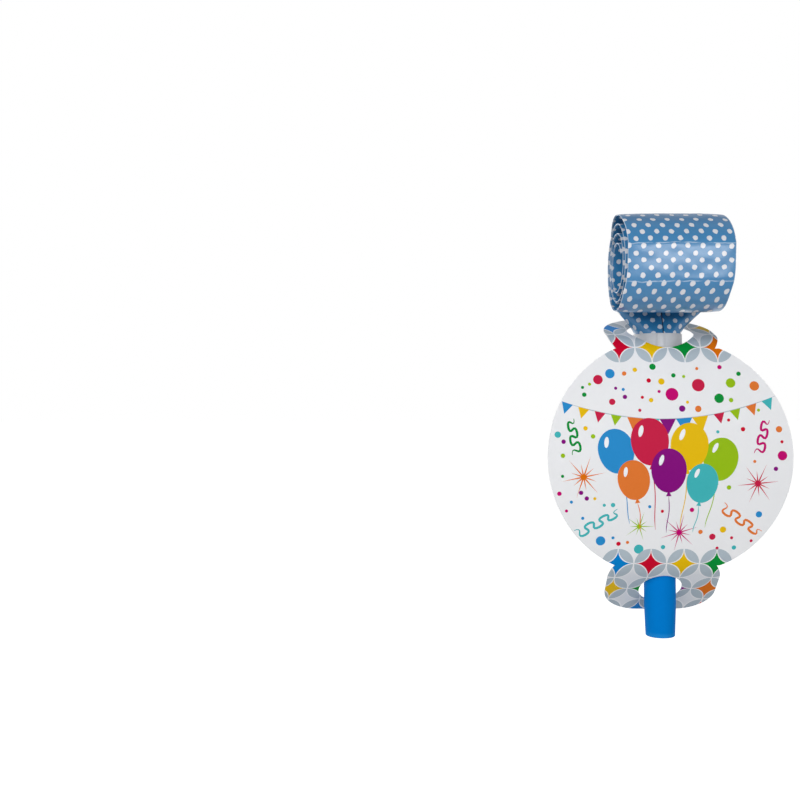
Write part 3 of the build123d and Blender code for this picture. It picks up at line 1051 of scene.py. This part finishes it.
def balloon(x, y, size, ink, lean, string):
    """A balloon with its knot, a window of light and a wavy string."""
    skin = [(px, py * (1.16 if py > 0 else 1.34)) for px, py in ellipse(0, 0, size, size, 40)]
    foot = -1.34 * size
    end = foot - 0.2 * size
    knot = [(-0.16 * size, end), (0.16 * size, end), (0.04 * size, foot + 0.06 * size),
            (-0.04 * size, foot + 0.06 * size)]
    light = [(px + 0.25 * (py - 0.5 * size), py)
             for px, py in ellipse(-0.42 * size, 0.5 * size, 0.13 * size, 0.3 * size, 16)]
    cord = [(0.35 * sin(5.4 * n / 18) * (0.4 + n / 18), end - string * n / 18) for n in range(19)]
    shapes = ribbon(cord, 0.28, ink) + [(ink, skin), (ink, knot), ("shine", light)]
    return [(name, turned(shape, radians(lean), x, y)) for name, shape in shapes]


def streamer(x, y, length, ink, turn, turns=3.0):
    """A curled paper streamer seen from the side."""
    swing = 1.5
    path = []
    steps = int(16 * turns)
    for n in range(steps + 1):
        share = n / steps
        px = length * (share - 0.5) + 0.55 * swing * sin(4 * pi * turns * share)
        path.append((px, swing * cos(2 * pi * turns * share) * (1 - 0.3 * share)))
    return ribbon(turned(path, turn, x, y), 0.75, ink)


def bunting(x0, y0, x1, y1, sag, flags, colours):
    """Small flags on a hanging line."""
    steps = 40
    line = []
    for n in range(steps + 1):
        share = n / steps
        sunk = 4 * sag * share * (1 - share)
        line.append((x0 + (x1 - x0) * share, y0 + (y1 - y0) * share - sunk))
    shapes = ribbon(line, 0.3, "petal")
    for flag in range(flags):
        a = line[int(steps * (flag + 0.12) / flags)]
        b = line[int(steps * (flag + 0.88) / flags)]
        dx, dy = b[0] - a[0], b[1] - a[1]
        tip = ((a[0] + b[0]) / 2 + 0.95 * dy, (a[1] + b[1]) / 2 - 0.95 * hypot(dx, dy))
        shapes.append((colours[flag % len(colours)], [a, tip, b]))
    return shapes


CONFETTI = 74
CONFETTI_ROOM = 1.0         # least room between a loose dot and anything else
CONFETTI_R = (0.5, 0.7, 1.0, 1.5, 2.0)
CONFETTI_SHARES = (0.26, 0.3, 0.22, 0.14, 0.08)


def confetti(drawn):
    """Loose dots in the room that the larger motifs leave, in a fixed random order."""
    draw = np.random.default_rng(7)
    names = ["crimson", "sky", "orange", "lime", "yellow", "turquoise", "plum", "magenta", "red",
             "green"]
    tries = 6000
    places = draw.uniform((-36.0, -29.0), (36.0, 28.5), (tries, 2))
    radii = draw.choice(CONFETTI_R, tries, p=CONFETTI_SHARES)
    covered = np.hypot(places[:, 0], places[:, 1]) > CARD_R - radii - CONFETTI_ROOM
    for _, shape in drawn:
        covered |= inside(places, shape)
    near = np.array([point for _, shape in drawn for point in shape])
    shapes = []
    for (x, y), radius in zip(places[~covered], radii[~covered]):
        if np.hypot(near[:, 0] - x, near[:, 1] - y).min() < radius + CONFETTI_ROOM:
            continue
        dot = ellipse(x, y, radius, radius, int(14 + 3 * radius))
        shapes.append((names[len(shapes) % len(names)], dot))
        near = np.concatenate([near, dot])
        if len(shapes) == CONFETTI:
            break
    return shapes


def motifs():
    """Every printed shape, lowest first, as an ink and an outline."""
    flags = ["sky", "yellow", "crimson", "lime", "orange", "turquoise", "plum"]
    shapes = bunting(-33.5, 17.5, 33.5, 19.5, 6.5, 13, flags)
    shapes += streamer(-22.5, -20.5, 15.0, "turquoise", turn=0.5)
    shapes += streamer(22.0, -19.5, 15.0, "orange", turn=-0.62)
    shapes += streamer(28.5, 6.5, 11.0, "magenta", turn=1.35, turns=2.5)
    shapes += streamer(-30.0, 6.5, 11.0, "green", turn=1.75, turns=2.5)
    shapes += burst(-27.0, -6.0, 6.9, "amber", turn=0.2)
    shapes += burst(27.0, -8.0, 6.6, "crimson", turn=0.1)
    shapes += burst(3.0, -23.4, 6.2, "magenta", turn=0.3)
    shapes += burst(-9.5, -21.5, 4.8, "lime", rays=10)
    shapes += balloon(-17.0, 2.5, 5.6, "sky", 12, 15.0)
    shapes += balloon(15.5, 0.0, 5.4, "lime", -11, 14.0)
    shapes += balloon(-6.5, 5.5, 5.9, "crimson", 5, 19.0)
    shapes += balloon(5.8, 4.0, 5.9, "yellow", -5, 17.0)
    shapes += balloon(-11.5, -6.5, 5.0, "orange", 10, 9.0)
    shapes += balloon(9.8, -7.5, 4.9, "turquoise", -8, 8.5)
    shapes += balloon(-0.6, -3.5, 5.5, "plum", 0, 11.5)
    shapes += confetti(shapes)
    shapes += border(HALF_BOW + 0.4, 1, STRETCH_TOP, 5.3, [
        ["plum", "red", "yellow", "green", "amber", "azure"],
        ["green", "azure", "amber", "red", "yellow", "plum"],
        ["yellow", "green", "plum", "amber", "azure", "red"],
    ])
    shapes += border(-HALF_BOW + 0.75, -1, STRETCH_LOW, 4.8, [
        ["amber", "azure", "red", "yellow", "green", "plum"],
        ["plum", "yellow", "green", "plum", "amber", "azure"],
        ["red", "amber", "azure", "yellow", "red", "green"],
    ])
    return shapes


# ---- printed card: mesh -------------------------------------------------------------------------
def inside(points, polygon):
    """Which of many points lie inside an outline."""
    x, y = points[:, 0], points[:, 1]
    hit = np.zeros(len(points), bool)
    for place in range(len(polygon)):
        ax, ay = polygon[place]
        bx, by = polygon[place - 1]
        if ay == by:
            continue
        crosses = ((ay > y) != (by > y)) & (x < (bx - ax) * (y - ay) / (by - ay) + ax)
        hit ^= crosses
    return hit


BOARD_PITCH = 2.4           # between the points that fill the board
BOARD_ROW = BOARD_PITCH * 0.866
BOARD_REACH = 64            # how far up and down from the card's middle they may lie,
BOARD_COLUMNS = 17          # and in how many columns to either side


def make_card():
    """The board as one mesh, with its outline, its holes and every printed shape cut into it."""
    outline = card_outline()
    holes = [ellipse(0.0, HOLE_TOP_AT, *HOLE_TOP, 64), ellipse(0.0, HOLE_LOW_AT, *HOLE_LOW, 64)]
    shapes = motifs()
    verts = []
    edges = []

    def add_line(line, closed=True):
        first = len(verts)
        verts.extend(Vector(point) for point in line)
        edges.extend((first + n, first + n + 1) for n in range(len(line) - 1))
        if closed:
            edges.append((first + len(line) - 1, first))

    for loop in (outline, *holes):
        add_line(loop)
    for side, bend_over in ((1, BEND_TOP), (-1, BEND_LOW)):
        for beyond in np.arange(*bend_over, BEND_STEP):
            height = side * (HALF_BOW + beyond)
            add_line([(-CARD_R, height), (CARD_R, height)], closed=False)
    for _, shape in shapes:
        add_line(shape)
    rows = ceil(BOARD_REACH / BOARD_ROW)
    for row in range(-rows, rows + 1):
        for column in range(-BOARD_COLUMNS, BOARD_COLUMNS + 1):
            x = BOARD_PITCH * (column + 0.5 * (row % 2))
            y = BOARD_ROW * row
            on_tab = abs(x) < TAB_LOW[2] and abs(y) < HALF_BOW + TAB_TOP[0]
            if hypot(x, y) < CARD_R or on_tab:
                verts.append(Vector((x, y)))

    found = delaunay_2d_cdt(verts, edges, [], 0, 1e-5, False)
    flat = np.array([tuple(v) for v in found[0]])
    triangles = np.array([tuple(face) for face in found[2]])
    corners = flat[triangles]
    middles = corners.mean(axis=1)
    first, second = corners[:, 1] - corners[:, 0], corners[:, 2] - corners[:, 0]
    area = first[:, 0] * second[:, 1] - first[:, 1] * second[:, 0]
    triangles[area < 0] = triangles[area < 0][:, ::-1]
    kept = inside(middles, outline) & (np.abs(area) > 1e-7)
    for hole in holes:
        kept &= ~inside(middles, hole)
    triangles, middles = triangles[kept], middles[kept]

    names = list(INKS)
    board = [board_white, board_back, board_edge]
    ink_slots = np.zeros(len(triangles), int)
    for ink, shape in shapes:
        ink_slots[inside(middles, shape)] = len(board) + names.index(ink)

    used, triangles = np.unique(triangles, return_inverse=True)
    triangles = triangles.reshape(-1, 3)
    flat = flat[used]
    points = np.concatenate([on_card(flat, 0.0), on_card(flat, CARD_T)]).tolist()
    count = len(flat)
    faces = np.concatenate([triangles, triangles[:, ::-1] + count]).tolist()
    slots = [*ink_slots, *[board.index(board_back)] * len(triangles)]
    # the cut edge joins the two faces wherever a side of a triangle has no neighbour
    sides = dict.fromkeys((t[n], t[(n + 1) % 3]) for t in faces[:len(triangles)] for n in range(3))
    for a, b in sides:
        if (b, a) not in sides:
            faces.append((b, a, a + count, b + count))
            slots.append(board.index(board_edge))
    make_piece("card_sheet", points, faces, board + [inks[name] for name in names], "card",
               ["printed_card"], face_slots=slots, sharp=45)


# ---- reed: its CAD solids with their own finishes -----------------------------------------------
def finish_reed():
    finishes = {"reed_body": reed_plastic, "reed_clip": reed_plastic, "reed_tongue": tongue_film}
    for node, material in finishes.items():
        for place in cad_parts[node].material_slots:
            place.material = material


make_blowing_tube()
make_collar()
make_paper_tube()
make_recoil_strip()
make_card()
finish_reed()


# ---- surroundings -------------------------------------------------------------------------------
FLOOR_HALF = 6.0            # the floor's size and height, in metres
FLOOR_Z = -0.062
FLOOR_GLOW = 0.8            # strength of its own white, where it is seen
SURROUND_FILL = 0.25        # strength of the surround's light on the object
SURROUND_TOP = 0.75         # strength at which it is seen overhead, where it is 1 lower down
SURROUND_FADE = (0.62, 0.95)    # how steeply up that change starts and ends, where 1 is upright
AIM = (0.0, -0.01, 0.07)    # what the lamps point at, in metres
# where each lamp stands, its width and height, in metres, and its watts
LAMPS = {
    "left_softbox": ((-0.35, -0.43, 0.35), (0.3, 0.3), 1.65),
    "right_softbox": ((0.22, -0.82, 0.18), (0.29, 0.13), 1.65),
    "back_softbox": ((-0.5, 0.65, 0.12), (0.5, 0.5), 1.8),
}


def make_floor():
    corners = [(x * FLOOR_HALF, y * FLOOR_HALF, FLOOR_Z)
               for x, y in ((-1, -1), (1, -1), (1, 1), (-1, 1))]
    mesh = bpy.data.meshes.new("floor")
    mesh.from_pydata(corners, [], [(0, 1, 2, 3)])
    material, tree, shader = new_material("floor_white", 0.9, 0.1)
    tone = tree.noise(object_place(tree), 40.0)
    tree.link(tree.mix(tone, srgb(244, 244, 244), srgb(248, 248, 248)), shader.inputs["Base Color"])
    shader.inputs["Emission Color"].default_value = (1, 1, 1, 1)
    glow = tree.math("MULTIPLY", tree.seen(), FLOOR_GLOW)
    tree.link(glow, shader.inputs["Emission Strength"])
    mesh.materials.append(material)
    add_object("floor", mesh)


def make_world():
    """A white surround that lights the object less than it shows, and is dimmer overhead."""
    world = bpy.data.worlds.new("white_surround")
    bpy.context.scene.world = world
    world.use_nodes = True
    tree = Tree(world.node_tree)
    background = world.node_tree.nodes["Background"]
    background.inputs["Color"].default_value = (1, 1, 1, 1)
    up = tree.split(tree.node("ShaderNodeTexCoord").outputs["Generated"])["Z"]
    shown = tree.ramp(up, *SURROUND_FADE, 1.0, SURROUND_TOP)
    more = tree.math("MULTIPLY", tree.seen(), tree.math("SUBTRACT", shown, SURROUND_FILL))
    tree.link(tree.math("ADD", more, SURROUND_FILL), background.inputs["Strength"])


def make_lamps():
    for name, (place, size, watts) in LAMPS.items():
        lamp = bpy.data.lights.new(name, "AREA")
        lamp.shape = "RECTANGLE"
        lamp.size, lamp.size_y = size
        lamp.energy = watts
        holder = add_object(name, lamp)
        holder.location = place
        holder.rotation_euler = (Vector(AIM) - Vector(place)).to_track_quat("-Z", "Y").to_euler()


def make_camera():
    data = bpy.data.cameras.new("camera")
    data.sensor_width = SENSOR
    data.lens = FOCAL_PX / FRAME_PX * SENSOR
    data.clip_start = 0.01
    camera = add_object("camera", data)
    camera.location = Vector(CAMERA_AT) * MM
    camera.rotation_euler = (pi / 2, 0, 0)
    bpy.context.scene.camera = camera


make_floor()
make_world()
make_lamps()
make_camera()
bpy.context.scene.view_settings.view_transform = "Standard"
